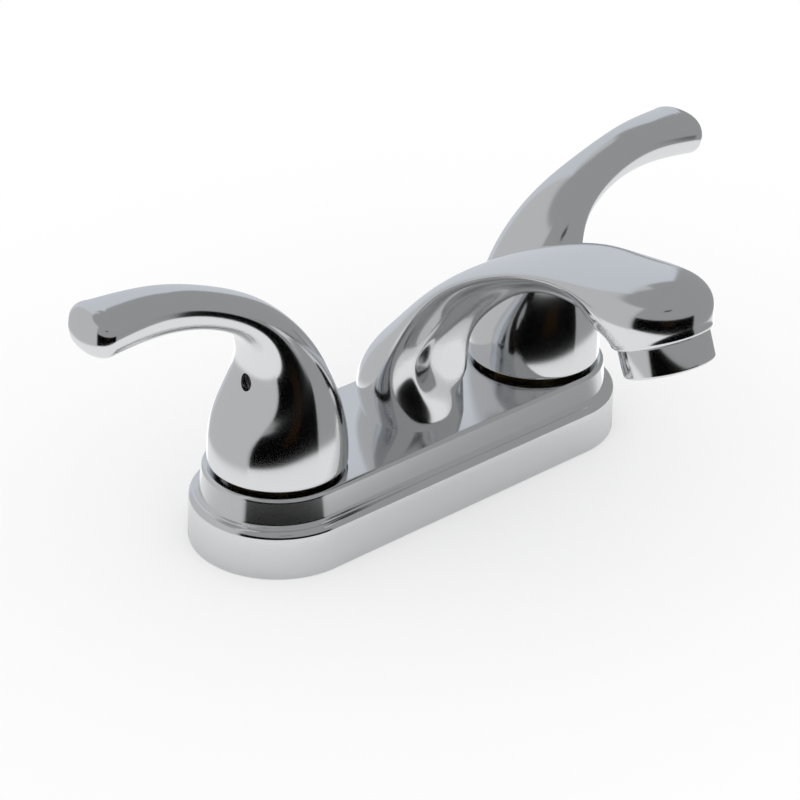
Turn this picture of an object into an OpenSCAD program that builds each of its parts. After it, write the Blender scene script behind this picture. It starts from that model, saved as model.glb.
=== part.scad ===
/* [Cover plate] */
// Distance between the two valve axes
valve_centres = 101.6; // [101.6:0.2:106]
// Radius of the plate's round ends at the basin
plate_end_r = 25.7; // [25.4:0.1:27]
// Height of the lower step
lower_step_h = 14.9; // [13:0.1:16]
// Width of the ledge between the two steps
ledge_w = 2.9; // [2.4:0.1:3.2]
// Height of the plate's flat top
plate_h = 23.5; // [23:0.1:26]
// Wall of the plate
plate_wall = 2.2; // [1.6:0.1:2.4]
// How far the lower wall leans in
lower_draft = 0.3; // [0.1:0.1:0.6]
// How far the upper wall leans in
upper_draft = 0.8; // [0.2:0.1:1.2]
// Rounding of the lower step's top edge
shoulder_r = 2; // [1:0.1:2.6]
// Rounding of the flat top's edge
top_edge_r = 1.1; // [0.6:0.1:1.6]
// Thickness of the base gasket
gasket_t = 2.5; // [1.5:0.1:3]

/* [Handles] */
// Radius of the hub at its lower rim
hub_r = 20.2; // [20:0.1:21]
// Running gap between the hub and the plate
hub_gap = 1.5; // [1:0.1:2]
// How far the hot lever is turned back from straight out, as the spline holds it
hot_lever_turn = 6.5; // [-10:0.5:10]
// How far the cold lever is turned back from straight out
cold_lever_turn = 0; // [-10:0.5:10]
// Depth of the lever's rounded end
lever_end = 6; // [4:0.5:8]
// Radius of the hollow under the hub
hub_hollow_r = 17.9; // [17.6:0.1:18.2]
// Height of the straight part of that hollow
hub_hollow_h = 9.5; // [9:0.1:11]
// Height of the cone that closes the hollow
hub_roof_h = 6; // [5:0.5:7]
// Height of the set screw above the basin
set_screw_z = 52.3; // [50:0.1:54]
// Radius of the set screw
set_screw_r = 2.4; // [2:0.1:2.6]
// Length of the set screw
set_screw_l = 4.2; // [3.5:0.1:4.4]

/* [Spout] */
// How far the outlet's centre stands in front of the valve axes
outlet_reach = 95.6; // [92:0.2:100]
// Height of the outlet's seat above the basin
outlet_h = 86.3; // [84:0.2:92]
// Forward tilt of the outlet
outlet_tilt = 24; // [15:1:30]
// Radius of the outlet's collar
collar_r = 13.4; // [13:0.1:14]
// Half of the foot's width
foot_half_w = 15; // [14:0.2:16]
// Radius of the waterway through the spout
spout_bore_r = 3.2; // [3:0.1:3.4]
// Radius of the spigot under the spout
spigot_r = 8; // [7.5:0.1:8.5]

/* [Aerator] */
// Radius of the visible ring
ring_r = 12.4; // [12.2:0.1:12.8]
// Height of the visible ring
ring_h = 8.2; // [8:0.1:10]
// Radius of the ring's male thread
ring_thread_r = 11; // [10.8:0.1:11.2]
// Length of the male thread
ring_thread_l = 4; // [3.5:0.1:4.5]
// Radius of the ring's inside
ring_bore_r = 10; // [9.5:0.1:10.2]
// Radius of the mouth at the ring's lower end
mouth_r = 8.8; // [8:0.1:9.2]

/* [Valves] */
// Radius of a valve barrel
barrel_r = 14; // [13.5:0.1:14.5]
// Radius of the barrel's threaded neck
neck_r = 12; // [11.6:0.1:12.4]
// How far the neck stands above the plate
neck_h = 6.5; // [6:0.1:7]
// Radius of the bore that takes the cartridge
barrel_bore_r = 9.6; // [9.4:0.1:9.8]
// Radius of the cartridge's chamber
chamber_r = 8.2; // [8:0.1:8.4]
// Radius of the stem
stem_r = 5; // [4.6:0.1:5.2]
// Radius of the stem's splined end
spline_r = 4.2; // [3.8:0.1:4.4]
// Number of spline teeth
spline_teeth = 20; // [16:4:24]
// Height of the stem's top above the basin
stem_top_z = 57; // [55:0.5:58]
// Width of the bonnet nut across its flats
nut_flats = 28; // [27:0.2:28.6]
// Thickness of a ceramic disc
disc_t = 2.5; // [2:0.1:2.6]
// Radius of the cross tube
cross_r = 5.8; // [5.4:0.1:6]
// Radius of the bore in the cross tube
cross_bore_r = 4; // [3.4:0.1:4.2]

/* [Inlet shanks] */
// Radius over the shank's thread
shank_r = 10.48; // [10:0.02:10.6]
// Radius of the shank's bore
shank_bore_r = 7.5; // [6.5:0.1:8]
// How far a shank reaches below the basin's top
shank_drop = 50; // [44:1:60]
// Length of the free end that takes the supply nut
supply_end = 17; // [14:0.5:20]
// Height of a mounting nut
mount_nut_h = 9; // [7:0.5:11]
// Radius of a mounting nut's body
mount_nut_r = 15; // [14:0.5:17]
// Distance between the basin's top and a mounting nut
basin_grip = 16; // [10:0.5:20]

/* [Fits] */
// Radial clearance of turning parts
running_fit = 0.05; // [0.02:0.01:0.1]
// Clearance between parts that stay still
seat_fit = 0.1; // [0.05:0.05:0.2]
// Gap left round parts that turn inside others
free_gap = 0.4; // [0.3:0.1:0.6]

/* [Hidden] */
$fn = 96;

// Sides of the valves: hot is at -X, cold is its mirror image at +X
HOT = -1;
COLD = 1;
half_c = valve_centres / 2;
cut = 0.01;
through = 200;

// Heights from the basin's top, set out downwards from the plate's underside
plate_under = plate_h - plate_wall;
locknut_r = 13;
locknut_t = 3.6;
cross_gap = 0.9;
cross_z = plate_under - locknut_t - cross_gap - cross_r;
seal_z = cross_z - cross_bore_r;
web_t = 1.5;
web_bottom = seal_z - web_t;
seal_t = 2;
disc_z = seal_z + seal_t;
turn_disc_z = disc_z + disc_t + running_fit;
driver_z = turn_disc_z + disc_t;
driver_t = 2.2;
chamber_top = driver_z + driver_t + 0.2;
neck_top = plate_h + neck_h;
flange_t = 1.6;
cartridge_top = neck_top + flange_t + 6.4;
hub_z = plate_h + hub_gap;
hollow_top = hub_z + hub_hollow_h + hub_roof_h;
roof_r = 9;
spline_z = hollow_top - 0.6;

// Places in the spout
spout_y = -2;
spigot_drop = 8.3;
spigot_end = plate_under - spigot_drop;
boss_r = 11;
boss_gap = 0.6;
boss_top = plate_under - locknut_t - boss_gap;
boss_floor = 2;
chamber_floor = 5;
spigot_grip = 6;
spigot_wall = 3.8;
seal_wire_r = 0.55;
seal_squeeze = 0.02;
groove_room = 0.2;
groove_foot = 1.5;
outlet_bore_l = ring_thread_l + 1.5;
collar_edge = 1.5;
collar_swell = 0.5;
// Rise and reach of the outlet that the arch below is drawn for
drawn_rise = 62.8;
drawn_reach = 95.6;
// Point of the arch: distance in front of the valve axes and height, which follow the outlet
function arch(ahead, rise) =
    [ahead * outlet_reach / drawn_reach, plate_h + rise * (outlet_h - plate_h) / drawn_rise];
// Point of the nose, a distance behind the outlet's centre and above it
function nose(behind, above) = [outlet_reach - behind, outlet_h + above];
// Bends of the waterway in the spout
waterway_path = [[2, plate_h + spigot_grip / 2], arch(8, 24), arch(27, 49.5), arch(51, 64.7), nose(3.6, 4.7)];

function turn_for(side) = side == HOT ? hot_lever_turn : -cold_lever_turn;

// Curve through the rows of a section table, with a fixed number of steps between rows
function spline_row(rows, i, t) =
    let (
        n = len(rows) - 1,
        p1 = rows[i],
        p2 = rows[i + 1],
        p0 = i > 0 ? rows[i - 1] : 2 * p1 - p2,
        p3 = i + 2 <= n ? rows[i + 2] : 2 * p2 - p1
    )
    0.5 * (2 * p1 + (p2 - p0) * t + (2 * p0 - 5 * p1 + 4 * p2 - p3) * t * t
        + (3 * p1 - p0 - 3 * p2 + p3) * t * t * t);
function splined(rows, steps) = [
    for (i = [0 : len(rows) - 2]) for (k = [0 : steps - 1]) spline_row(rows, i, k / steps),
    rows[len(rows) - 1]
];

// Signed power, for rounded-square sections
function spow(v, e) = sign(v) * pow(abs(v), e);

// Skin over rings of equal point counts, closed at both ends
module skin(rings) {
    n = len(rings[0]);
    m = len(rings);
    centre_a = [for (k = [0 : 2]) [for (p = rings[0]) p[k]] * [for (p = rings[0]) 1 / n]];
    centre_b = [for (k = [0 : 2]) [for (p = rings[m - 1]) p[k]] * [for (p = rings[0]) 1 / n]];
    points = [for (r = rings) each r, centre_a, centre_b];
    faces = [
        for (i = [0 : m - 2]) for (j = [0 : n - 1])
            let (a = i * n + j, b = i * n + (j + 1) % n)
            each [[a, b + n, b], [a, a + n, b + n]],
        for (j = [0 : n - 1]) [j, (j + 1) % n, n * m],
        for (j = [0 : n - 1]) [(m - 1) * n + (j + 1) % n, (m - 1) * n + j, n * m + 1]
    ];
    polyhedron(points, faces);
}

/* Cover plate */

// Solid with a stadium outline: the profile is turned at both ends and drawn straight between
module stadium(profile) {
    for (side = [HOT, COLD])
        translate([side * half_c, 0, 0])
            rotate([0, 0, side == HOT ? 90 : -90])
                rotate_extrude(angle = 180) polygon(profile);
    rotate([90, 0, 90])
        translate([0, 0, -half_c])
            linear_extrude(valve_centres)
                polygon(concat(profile, [for (i = [len(profile) - 1 : -1 : 0]) [-profile[i][0], profile[i][1]]]));
}

shoulder_out = plate_end_r - lower_draft;
upper_foot_r = plate_end_r - lower_draft - ledge_w;
upper_top_r = upper_foot_r - upper_draft;
ledge_rise = 1;
function arc(cx, cz, r, from, to, n) = [
    for (k = [0 : n]) let (a = from + (to - from) * k / n) [cx + r * cos(a), cz + r * sin(a)]
];
plate_profile = concat(
    [[0, 0], [plate_end_r, 0]],
    arc(shoulder_out - shoulder_r, lower_step_h - shoulder_r, shoulder_r, 0, 80, 6),
    [[upper_foot_r + 0.3, lower_step_h + 0.35], [upper_foot_r, lower_step_h + ledge_rise]],
    arc(upper_top_r - top_edge_r, plate_h - top_edge_r, top_edge_r, 0, 90, 5),
    [[0, plate_h]]
);
plate_hollow = [
    [0, -1],
    [plate_end_r - plate_wall, -1],
    [shoulder_out - plate_wall, lower_step_h - plate_wall],
    [upper_foot_r - plate_wall, lower_step_h - plate_wall + ledge_rise],
    [upper_top_r - plate_wall, plate_under],
    [0, plate_under]
];

module deck_plate() {
    color("silver")
    difference() {
        stadium(plate_profile);
        stadium(plate_hollow);
        for (side = [HOT, COLD])
            translate([side * half_c, 0, plate_under - 1])
                cylinder(r = neck_r + seat_fit, h = plate_wall + 2);
        translate([0, spout_y, plate_under - 1]) cylinder(r = spigot_r + seat_fit, h = plate_wall + 2);
    }
}

module base_gasket() {
    edge = plate_end_r - plate_wall - 0.4;
    color("dimgray")
    difference() {
        stadium([[0, 0], [edge, 0], [edge, gasket_t], [0, gasket_t]]);
        for (side = [HOT, COLD])
            translate([side * half_c, 0, -1]) cylinder(r = barrel_r + seat_fit, h = gasket_t + 2);
        translate([-half_c, 0, cross_z]) rotate([0, 90, 0]) cylinder(r = cross_r + seat_fit, h = valve_centres);
    }
}

/* Waterway below the plate */

module waterway_body() {
    color("goldenrod")
    difference() {
        union() {
            for (side = [HOT, COLD]) translate([side * half_c, 0, 0]) {
                translate([0, 0, 0.5]) cylinder(r = barrel_r, h = plate_under - 0.5);
                translate([0, 0, plate_under - cut]) cylinder(r = neck_r, h = neck_top - plate_under + cut);
            }
            translate([-half_c, 0, cross_z]) rotate([0, 90, 0]) cylinder(r = cross_r, h = valve_centres);
            translate([0, spout_y, chamber_floor - boss_floor])
                cylinder(r = boss_r, h = boss_top - chamber_floor + boss_floor);
        }
        for (side = [HOT, COLD]) translate([side * half_c, 0, 0]) {
            cylinder(r = shank_r + seat_fit, h = web_bottom);
            translate([0, 0, web_bottom - cut]) cylinder(r = 4.5, h = 3);
            translate([0, 0, seal_z]) cylinder(r = barrel_bore_r, h = through);
        }
        translate([-half_c, 0, cross_z]) rotate([0, 90, 0]) cylinder(r = cross_bore_r, h = valve_centres);
        translate([0, spout_y, chamber_floor]) cylinder(r = spigot_r + seat_fit, h = through);
    }
}

module shank(side) {
    color("goldenrod")
    translate([side * half_c, 0, 0])
    difference() {
        union() {
            translate([0, 0, -shank_drop]) cylinder(r = shank_r, h = supply_end);
            translate([0, 0, -shank_drop + supply_end - cut])
                cylinder(r = shank_r - 0.7, h = shank_drop - supply_end + web_bottom);
            translate([0, 0, -shank_drop + supply_end + 1.5])
                cylinder(r = shank_r, h = shank_drop - supply_end - 1.5 + web_bottom);
        }
        translate([0, 0, -shank_drop - 1]) cylinder(r = shank_bore_r, h = through);
    }
}

module mounting_nut(side) {
    wing_l = 8;
    wing_t = 4;
    color("ivory")
    translate([side * half_c, 0, -basin_grip - mount_nut_h])
    difference() {
        union() {
            cylinder(r = mount_nut_r, h = mount_nut_h);
            translate([0, 0, mount_nut_h - 2]) cylinder(r = mount_nut_r + 2.5, h = 2);
            for (a = [0 : 90 : 270])
                rotate([0, 0, a + 45])
                    translate([mount_nut_r - 2, -wing_t / 2, 1]) cube([wing_l, wing_t, mount_nut_h - 4]);
        }
        translate([0, 0, -1]) cylinder(r = shank_r + seat_fit, h = mount_nut_h + 2);
    }
}

/* Valve inside each handle */

module seat_seal(side) {
    color("black")
    translate([side * half_c, 0, seal_z])
    difference() {
        cylinder(r = barrel_bore_r - seat_fit, h = seal_t);
        translate([0, 0, -1]) cylinder(r = 4.5, h = seal_t + 2);
    }
}

module fixed_disc(side) {
    color("white")
    translate([side * half_c, 0, disc_z])
    difference() {
        cylinder(r = chamber_r - seat_fit, h = disc_t);
        for (y = [-1, 1]) translate([0, y * 3, -1]) cylinder(r = 1.4, h = disc_t + 2);
    }
}

tongue_w = 2.6;
tongue_l = 11;
tongue_h = 1.3;

module turning_disc(side) {
    color("white")
    translate([side * half_c, 0, turn_disc_z])
    difference() {
        cylinder(r = chamber_r - free_gap, h = disc_t);
        translate([3, 0, -1]) cylinder(r = 1.4, h = disc_t + 2);
        translate([-tongue_l / 2 - seat_fit, -tongue_w / 2 - seat_fit, disc_t - tongue_h - seat_fit])
            cube([tongue_l + 2 * seat_fit, tongue_w + 2 * seat_fit, tongue_h + 1]);
    }
}

module cartridge(side) {
    color("peru")
    translate([side * half_c, 0, 0])
    difference() {
        union() {
            translate([0, 0, disc_z]) cylinder(r = barrel_bore_r - seat_fit, h = neck_top - disc_z + cut);
            translate([0, 0, neck_top]) cylinder(r = neck_r - 0.2, h = flange_t);
            translate([0, 0, neck_top]) cylinder(r = 7.2, h = cartridge_top - neck_top);
        }
        translate([0, 0, disc_z - 1]) cylinder(r = chamber_r, h = chamber_top - disc_z + 1);
        cylinder(r = stem_r + running_fit, h = through);
        translate([-through / 2, 0, turn_disc_z + disc_t / 2])
            rotate([0, 90, 0]) cylinder(r = 1.8, h = through);
    }
}

oring_r = 0.9;
oring_z = chamber_top + 8;
groove_r = stem_r - 2 * oring_r + running_fit;

module stem(side) {
    color("goldenrod")
    translate([side * half_c, 0, 0])
    difference() {
        union() {
            translate([0, 0, driver_z]) cylinder(r = chamber_r - free_gap, h = driver_t);
            translate([-tongue_l / 2, -tongue_w / 2, driver_z - tongue_h])
                cube([tongue_l, tongue_w, tongue_h + 1]);
            translate([0, 0, driver_z]) cylinder(r = stem_r, h = spline_z - driver_z);
            translate([0, 0, driver_z]) rotate([0, 0, -turn_for(side)])
                linear_extrude(stem_top_z - driver_z) spline_outline(0);
        }
        translate([0, 0, oring_z - oring_r - 0.1])
            rotate_extrude()
                translate([groove_r, 0]) square([stem_r, 2 * oring_r + 0.2]);
    }
}

// Spline teeth as a closed outline; grow widens it for the socket in the handle
module spline_outline(grow) {
    polygon([
        for (k = [0 : spline_teeth * 2 - 1])
            let (r = (k % 2 == 0 ? spline_r : spline_r - 0.45) + grow, a = k * 180 / spline_teeth)
            [r * cos(a), r * sin(a)]
    ]);
}

module stem_oring(side) {
    color("black")
    translate([side * half_c, 0, oring_z])
        rotate_extrude() translate([groove_r + oring_r, 0]) circle(r = oring_r - 0.02, $fn = 32);
}

module bonnet_nut(side) {
    lip_t = 1.8;
    color("goldenrod")
    translate([side * half_c, 0, plate_h])
    difference() {
        cylinder(r = nut_flats / 2 / cos(30), h = neck_h + flange_t + seat_fit + lip_t, $fn = 6);
        translate([0, 0, -1]) cylinder(r = neck_r + seat_fit, h = neck_h + flange_t + seat_fit + 1);
        cylinder(r = 7.2 + seat_fit, h = through);
    }
}

/* Lever handles */

// Rows of the lever: distance out, height, lean of the section, its depth and its width
lever_rows = [
    [0, hub_z, 0, 2 * hub_r, 2 * hub_r],
    [0, hub_z + 9, 0, 39.4, 40],
    [0.6, hub_z + 21.5, 16, 32, 36.6],
    [2.2, hub_z + 33, 40, 22.6, 29.5],
    [7.6, hub_z + 44.6, 54, 13.6, 21.5],
    [21.6, hub_z + 53.6, 71, 10.6, 15.6],
    [39.6, hub_z + 57.6, 77, 12.6, 15.4],
    [56.3, hub_z + 57.2, 81, 13.4, 20]
];
lever_sides = 28;
lever_steps = 4;
end_steps = 4;

function lever_ring(row, square_) = [
    for (k = [0 : lever_sides - 1])
        let (
            a = 360 * k / lever_sides,
            u = spow(cos(a), square_) * row[3] / 2,
            v = spow(sin(a), square_) * row[4] / 2
        )
        [-row[0] + u * cos(row[2]), v, row[1] + u * sin(row[2])]
];
function end_row(row, k) =
    let (a = 90 * k / end_steps, f = k == end_steps ? 0.12 : pow(cos(a), 0.6), d = lever_end * sin(a))
    [row[0] + d * sin(row[2]), row[1] + d * cos(row[2]), row[2], row[3] * f, row[4] * f];

module lever_skin() {
    rows = splined(lever_rows, lever_steps);
    last = lever_rows[len(lever_rows) - 1];
    body = [
        for (i = [0 : len(rows) - 1])
            let (s = min(1, max(0, (i / (len(rows) - 1) - 0.3) / 0.4)))
            lever_ring(rows[i], 1 - 0.16 * s)
    ];
    tip = [for (k = [1 : end_steps]) lever_ring(end_row(last, k), 0.84)];
    skin(concat(body, tip));
}

// Puts what is drawn for the hot side at its valve; the cold side is its mirror image
module at_valve(side) {
    translate([side * half_c, 0, 0]) rotate([0, 0, -turn_for(side)])
        mirror([side == COLD ? 1 : 0, 0, 0]) children();
}

module handle(side) {
    color("silver")
    at_valve(side)
    difference() {
        lever_skin();
        translate([0, 0, hub_z - 1]) cylinder(r = hub_hollow_r, h = hub_hollow_h + 1);
        translate([0, 0, hub_z + hub_hollow_h - cut])
            cylinder(r1 = hub_hollow_r, r2 = roof_r, h = hub_roof_h);
        translate([0, 0, hub_z]) linear_extrude(stem_top_z + 0.6 - hub_z) spline_outline(seat_fit);
        translate([-hub_hollow_r, 0, set_screw_z])
            rotate([0, 90, 0]) cylinder(r = set_screw_r + seat_fit, h = hub_hollow_r);
    }
}

module set_screw(side) {
    key_flats = 2.5;
    key_depth = 2;
    color("dimgray")
    at_valve(side)
    translate([-spline_r - 0.1, 0, set_screw_z]) rotate([0, -90, 0])
    difference() {
        cylinder(r = set_screw_r, h = set_screw_l);
        translate([0, 0, set_screw_l - key_depth])
            cylinder(r = key_flats / 2 / cos(30), h = key_depth + 1, $fn = 6);
    }
}

/* Spout and aerator */

// Round section of the collar, at a height above its seat
function collar_row(h, r) = [
    outlet_reach - h * sin(outlet_tilt), outlet_h + h * cos(outlet_tilt), 180 - outlet_tilt, r, r, r, r, r
];

// Rows of the spout: distance in front, height, lean of the section, half width,
// crown above the widest line, rim below it, half width of the keel, depth of the keel
spout_rows = [
    [each arch(1, 0), 0, foot_half_w, 15.5, foot_half_w + 0.4, foot_half_w, foot_half_w + 0.4],
    [each arch(0.2, 8.1), -1, 15.9, 16.6, 14.2, 11.4, 16.6],
    [each arch(6.4, 24.3), 21, 15, 11.2, 5.5, 9, 15],
    [each arch(13.8, 37), 42, 15, 7, 4, 7, 10.6],
    [each arch(26.1, 52.1), 53.5, 15, 3.6, 4, 7.6, 9.2],
    [each arch(44.2, 64.4), 65.5, 15, 2.4, 4, 7.7, 8.3],
    [each arch(62.1, 71.2), 79, 15, 2.4, 4.3, 8.9, 10.5],
    [each nose(19.4, 9.7), 97, 15.2, 4.5, 6.8, 11.2, 12.3],
    [each nose(9.1, 7.9), 123.5, 16.4, 10.9, 11.8, 13.4, 12.8],
    [each nose(3.5, 4.9), 143.5, 15.6, 16.3, 12.5, 14.2, 12.8],
    collar_row(collar_edge, collar_r + collar_swell),
    collar_row(0, collar_r)
];
spout_sides = 36;
spout_steps = 4;

function oval(c, s, w, h) = 1 / sqrt(pow(c / w, 2) + pow(s / h, 2));
function spout_ring(row) = [
    for (k = [0 : spout_sides - 1])
        let (
            a = 360 * k / spout_sides,
            c = cos(a),
            s = sin(a),
            hood = oval(c, s, row[3], s >= 0 ? row[4] : row[5]),
            keel = oval(c, s, row[6], row[7]),
            fillet = 3 * (1 - row[6] / row[3]),
            r = s >= 0 ? hood : (hood + keel + sqrt(pow(hood - keel, 2) + pow(fillet, 2))) / 2,
            u = r * s
        )
        [r * c, -row[0] + u * cos(row[2]), row[1] + u * sin(row[2])]
];

module at_outlet() {
    translate([0, -outlet_reach, outlet_h]) rotate([-outlet_tilt, 0, 0]) children();
}

// Straight length of waterway, run on a little past its bend to meet the next one
module waterway_run(from, to) {
    past_bend = 1;
    ahead = to[0] - from[0];
    rise = to[1] - from[1];
    translate([0, -from[0], from[1]])
        rotate([atan2(ahead, rise), 0, 0])
            cylinder(r = spout_bore_r, h = norm([ahead, rise]) + past_bend, $fn = 24);
}

module spout() {
    color("silver")
    difference() {
        skin([for (row = splined(spout_rows, spout_steps)) spout_ring(row)]);
        for (i = [0 : len(waterway_path) - 2]) waterway_run(waterway_path[i], waterway_path[i + 1]);
        translate([0, spout_y, plate_h - 1]) cylinder(r = spigot_r + seat_fit, h = spigot_grip + 1);
        at_outlet() translate([0, 0, -1]) cylinder(r = ring_thread_r + seat_fit, h = outlet_bore_l + 1);
    }
}

module spout_spigot() {
    color("goldenrod")
    translate([0, spout_y, spigot_end])
    difference() {
        cylinder(r = spigot_r, h = plate_h + spigot_grip - spigot_end - seat_fit);
        translate([0, 0, -1]) cylinder(r = spigot_r - spigot_wall, h = plate_h + spigot_grip);
        translate([0, 0, groove_foot])
            rotate_extrude()
                translate([spigot_r - 2 * seal_wire_r, 0]) square([spigot_r, 2 * seal_wire_r + groove_room]);
    }
}

module aerator_housing() {
    color("silver")
    at_outlet()
    difference() {
        union() {
            translate([0, 0, -ring_h]) cylinder(r = ring_r, h = ring_h);
            cylinder(r = ring_thread_r, h = ring_thread_l);
        }
        translate([0, 0, -ring_h + 1.4]) cylinder(r = ring_bore_r, h = through);
        translate([0, 0, -ring_h - 1]) cylinder(r = mouth_r, h = 4);
    }
}

module aerator_washer() {
    color("black")
    at_outlet() translate([0, 0, ring_thread_l])
    difference() {
        cylinder(r = ring_thread_r - 0.1, h = outlet_bore_l - ring_thread_l);
        translate([0, 0, -1]) cylinder(r = ring_bore_r - 2.5, h = 4);
    }
}

insert_h = 8;
module aerator_insert() {
    color("white")
    at_outlet() translate([0, 0, -ring_h + 1.9])
    difference() {
        cylinder(r = ring_bore_r - seat_fit, h = insert_h);
        for (ring = [1 : 3]) for (k = [0 : 6 * ring - 1])
            rotate([0, 0, 60 * k / ring])
                translate([ring * 2.6, 0, -1]) cylinder(r = 0.8, h = insert_h + 2, $fn = 16);
    }
}

module aerator_screen() {
    color("silver")
    at_outlet() translate([0, 0, -ring_h + 1.4]) cylinder(r = ring_bore_r - seat_fit, h = 0.5);
}

module spout_seal_ring() {
    color("black")
    translate([0, spout_y, spigot_end + groove_foot + groove_room / 2 + seal_wire_r])
        rotate_extrude() translate([spigot_r - seal_wire_r + seal_squeeze, 0]) circle(r = seal_wire_r, $fn = 32);
}

module spout_locknut() {
    color("goldenrod")
    translate([0, spout_y, plate_under - locknut_t])
    difference() {
        cylinder(r = locknut_r, h = locknut_t, $fn = 6);
        translate([0, 0, -1]) cylinder(r = spigot_r + seat_fit, h = locknut_t + 2);
    }
}

deck_plate();
base_gasket();
waterway_body();
spout();
spout_spigot();
spout_seal_ring();
spout_locknut();
aerator_housing();
aerator_washer();
aerator_insert();
aerator_screen();
handle(HOT);  // hot_handle
set_screw(HOT);  // hot_set_screw
stem(HOT);  // hot_stem
stem_oring(HOT);  // hot_stem_oring
turning_disc(HOT);  // hot_turning_disc
fixed_disc(HOT);  // hot_fixed_disc
seat_seal(HOT);  // hot_seat_seal
cartridge(HOT);  // hot_cartridge
bonnet_nut(HOT);  // hot_bonnet_nut
shank(HOT);  // hot_shank
mounting_nut(HOT);  // hot_mounting_nut
handle(COLD);  // cold_handle
set_screw(COLD);  // cold_set_screw
stem(COLD);  // cold_stem
stem_oring(COLD);  // cold_stem_oring
turning_disc(COLD);  // cold_turning_disc
fixed_disc(COLD);  // cold_fixed_disc
seat_seal(COLD);  // cold_seat_seal
cartridge(COLD);  // cold_cartridge
bonnet_nut(COLD);  // cold_bonnet_nut
shank(COLD);  // cold_shank
mounting_nut(COLD);  // cold_mounting_nut
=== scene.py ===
import logging
import math
from dataclasses import dataclass
from enum import Enum
from typing import ClassVar, Iterable, Optional, Sequence

import bmesh
import bpy
import numpy as np
from mathutils import Matrix, Vector


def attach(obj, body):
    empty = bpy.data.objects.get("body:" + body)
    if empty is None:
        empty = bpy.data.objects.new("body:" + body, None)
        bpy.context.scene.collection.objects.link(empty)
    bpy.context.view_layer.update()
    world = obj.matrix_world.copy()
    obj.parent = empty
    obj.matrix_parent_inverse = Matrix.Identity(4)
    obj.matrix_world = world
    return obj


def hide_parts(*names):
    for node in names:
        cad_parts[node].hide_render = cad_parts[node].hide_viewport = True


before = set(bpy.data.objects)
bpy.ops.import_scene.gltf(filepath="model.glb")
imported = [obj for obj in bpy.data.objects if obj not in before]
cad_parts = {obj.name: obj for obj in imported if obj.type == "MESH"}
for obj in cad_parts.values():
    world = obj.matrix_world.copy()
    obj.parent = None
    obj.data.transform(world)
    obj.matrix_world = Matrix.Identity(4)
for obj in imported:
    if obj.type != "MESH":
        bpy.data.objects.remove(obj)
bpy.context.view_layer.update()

MM = 0.001
LOG = logging.getLogger("basin_tap")

Colour = tuple[float, float, float]
Row = Sequence[float]


class Side(Enum):
    """The two valves. The value is the sign of X."""

    HOT = -1
    COLD = 1

    @property
    def prefix(self) -> str:
        """Start of the names of this side's pieces."""
        return self.name.lower()


class Spread(Enum):
    """How the points of a ring are spread round it."""

    EVEN = 0.0
    TO_THE_EDGES = 0.4


@dataclass(frozen=True)
class Sizes:
    """Sizes of the tap in millimetres, as the CAD part has them."""

    half_c: float = 50.8
    plate_h: float = 23.5
    plate_end_r: float = 25.7
    lower_step_h: float = 14.9
    plate_wall: float = 2.2
    hub_z: float = 25.0
    hub_r: float = 20.2
    hub_hollow_r: float = 17.9
    hollow_cone_z: float = 34.5
    hollow_top_r: float = 9.0
    hollow_top_z: float = 40.5
    stem_socket_r: float = 4.35
    stem_socket_z: float = 57.6
    neck_r: float = 12.1
    hot_turn: float = 6.5
    lever_end: float = 6.0
    screw_x: float = -4.3
    screw_z: float = 52.3
    screw_r: float = 2.4
    screw_l: float = 4.2
    screw_hex: float = 1.25
    spout_y: float = -2.0
    socket_r: float = 8.1
    socket_depth: float = 6.0
    outlet_reach: float = 95.6
    outlet_h: float = 86.3
    outlet_tilt: float = 24.0
    collar_r: float = 13.4
    ring_r: float = 12.4
    ring_h: float = 8.2
    ring_bore_r: float = 10.0
    mouth_r: float = 8.8
    screen_step: float = 1.4
    thread_r: float = 11.0
    thread_top: float = 4.0
    outlet_bore_h: float = 5.5
    shank_r: float = 10.48
    shank_bore_r: float = 7.5
    shank_drop: float = 50.0
    shank_top: float = 5.4


S = Sizes()

# Rows of a lever: distance out, height, lean, depth, width, squareness
LEVER_ROWS: tuple[Row, ...] = (
    (0, 25, 0, 40.4, 40.4, 0),
    (0, 34, 0, 39.4, 40, 0),
    (0.6, 46.5, 16, 32, 36.6, 0),
    (2.2, 58, 40, 22.6, 29.5, 0.32),
    (7.6, 69.6, 54, 13.6, 21.5, 0.68),
    (21.6, 78.6, 71, 10.6, 15.6, 1),
    (39.6, 82.6, 77, 12.6, 15.4, 1),
    (56.3, 82.2, 81, 13.4, 20, 1),
)
# Rows of the spout: distance in front, height, lean, half width, crown, rim, keel half width, keel depth
SPOUT_ROWS: tuple[Row, ...] = (
    (1, 23.5, 0, 15, 15.5, 15.4, 15, 15.4),
    (0.2, 31.6, -1, 15.9, 16.6, 14.2, 11.4, 16.6),
    (6.4, 47.8, 21, 15, 11.2, 5.5, 9, 15),
    (13.8, 60.5, 42, 15, 7, 4, 7, 10.6),
    (26.1, 75.6, 53.5, 15, 3.6, 4, 7.6, 9.2),
    (44.2, 87.9, 65.5, 15, 2.4, 4, 7.7, 8.3),
    (62.1, 94.7, 79, 15, 2.4, 4.3, 8.9, 10.5),
    (76.2, 96, 97, 15.2, 4.5, 6.8, 11.2, 12.3),
    (86.5, 94.2, 123.5, 16.4, 10.9, 11.8, 13.4, 12.8),
    (92.1, 91.2, 143.5, 15.6, 16.3, 12.5, 14.2, 12.8),
)
# Rounded lip of the spout's collar: drop, inset
LIP_STEPS: tuple[Row, ...] = ((0.5, 0.05), (0.9, 0.16), (1.2, 0.34), (1.4, 0.6), (1.5, 1.0))
# Angle in degrees from which an edge of a CAD node is drawn sharp
CAD_SHARP = 35.0


# Shape helpers


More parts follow.
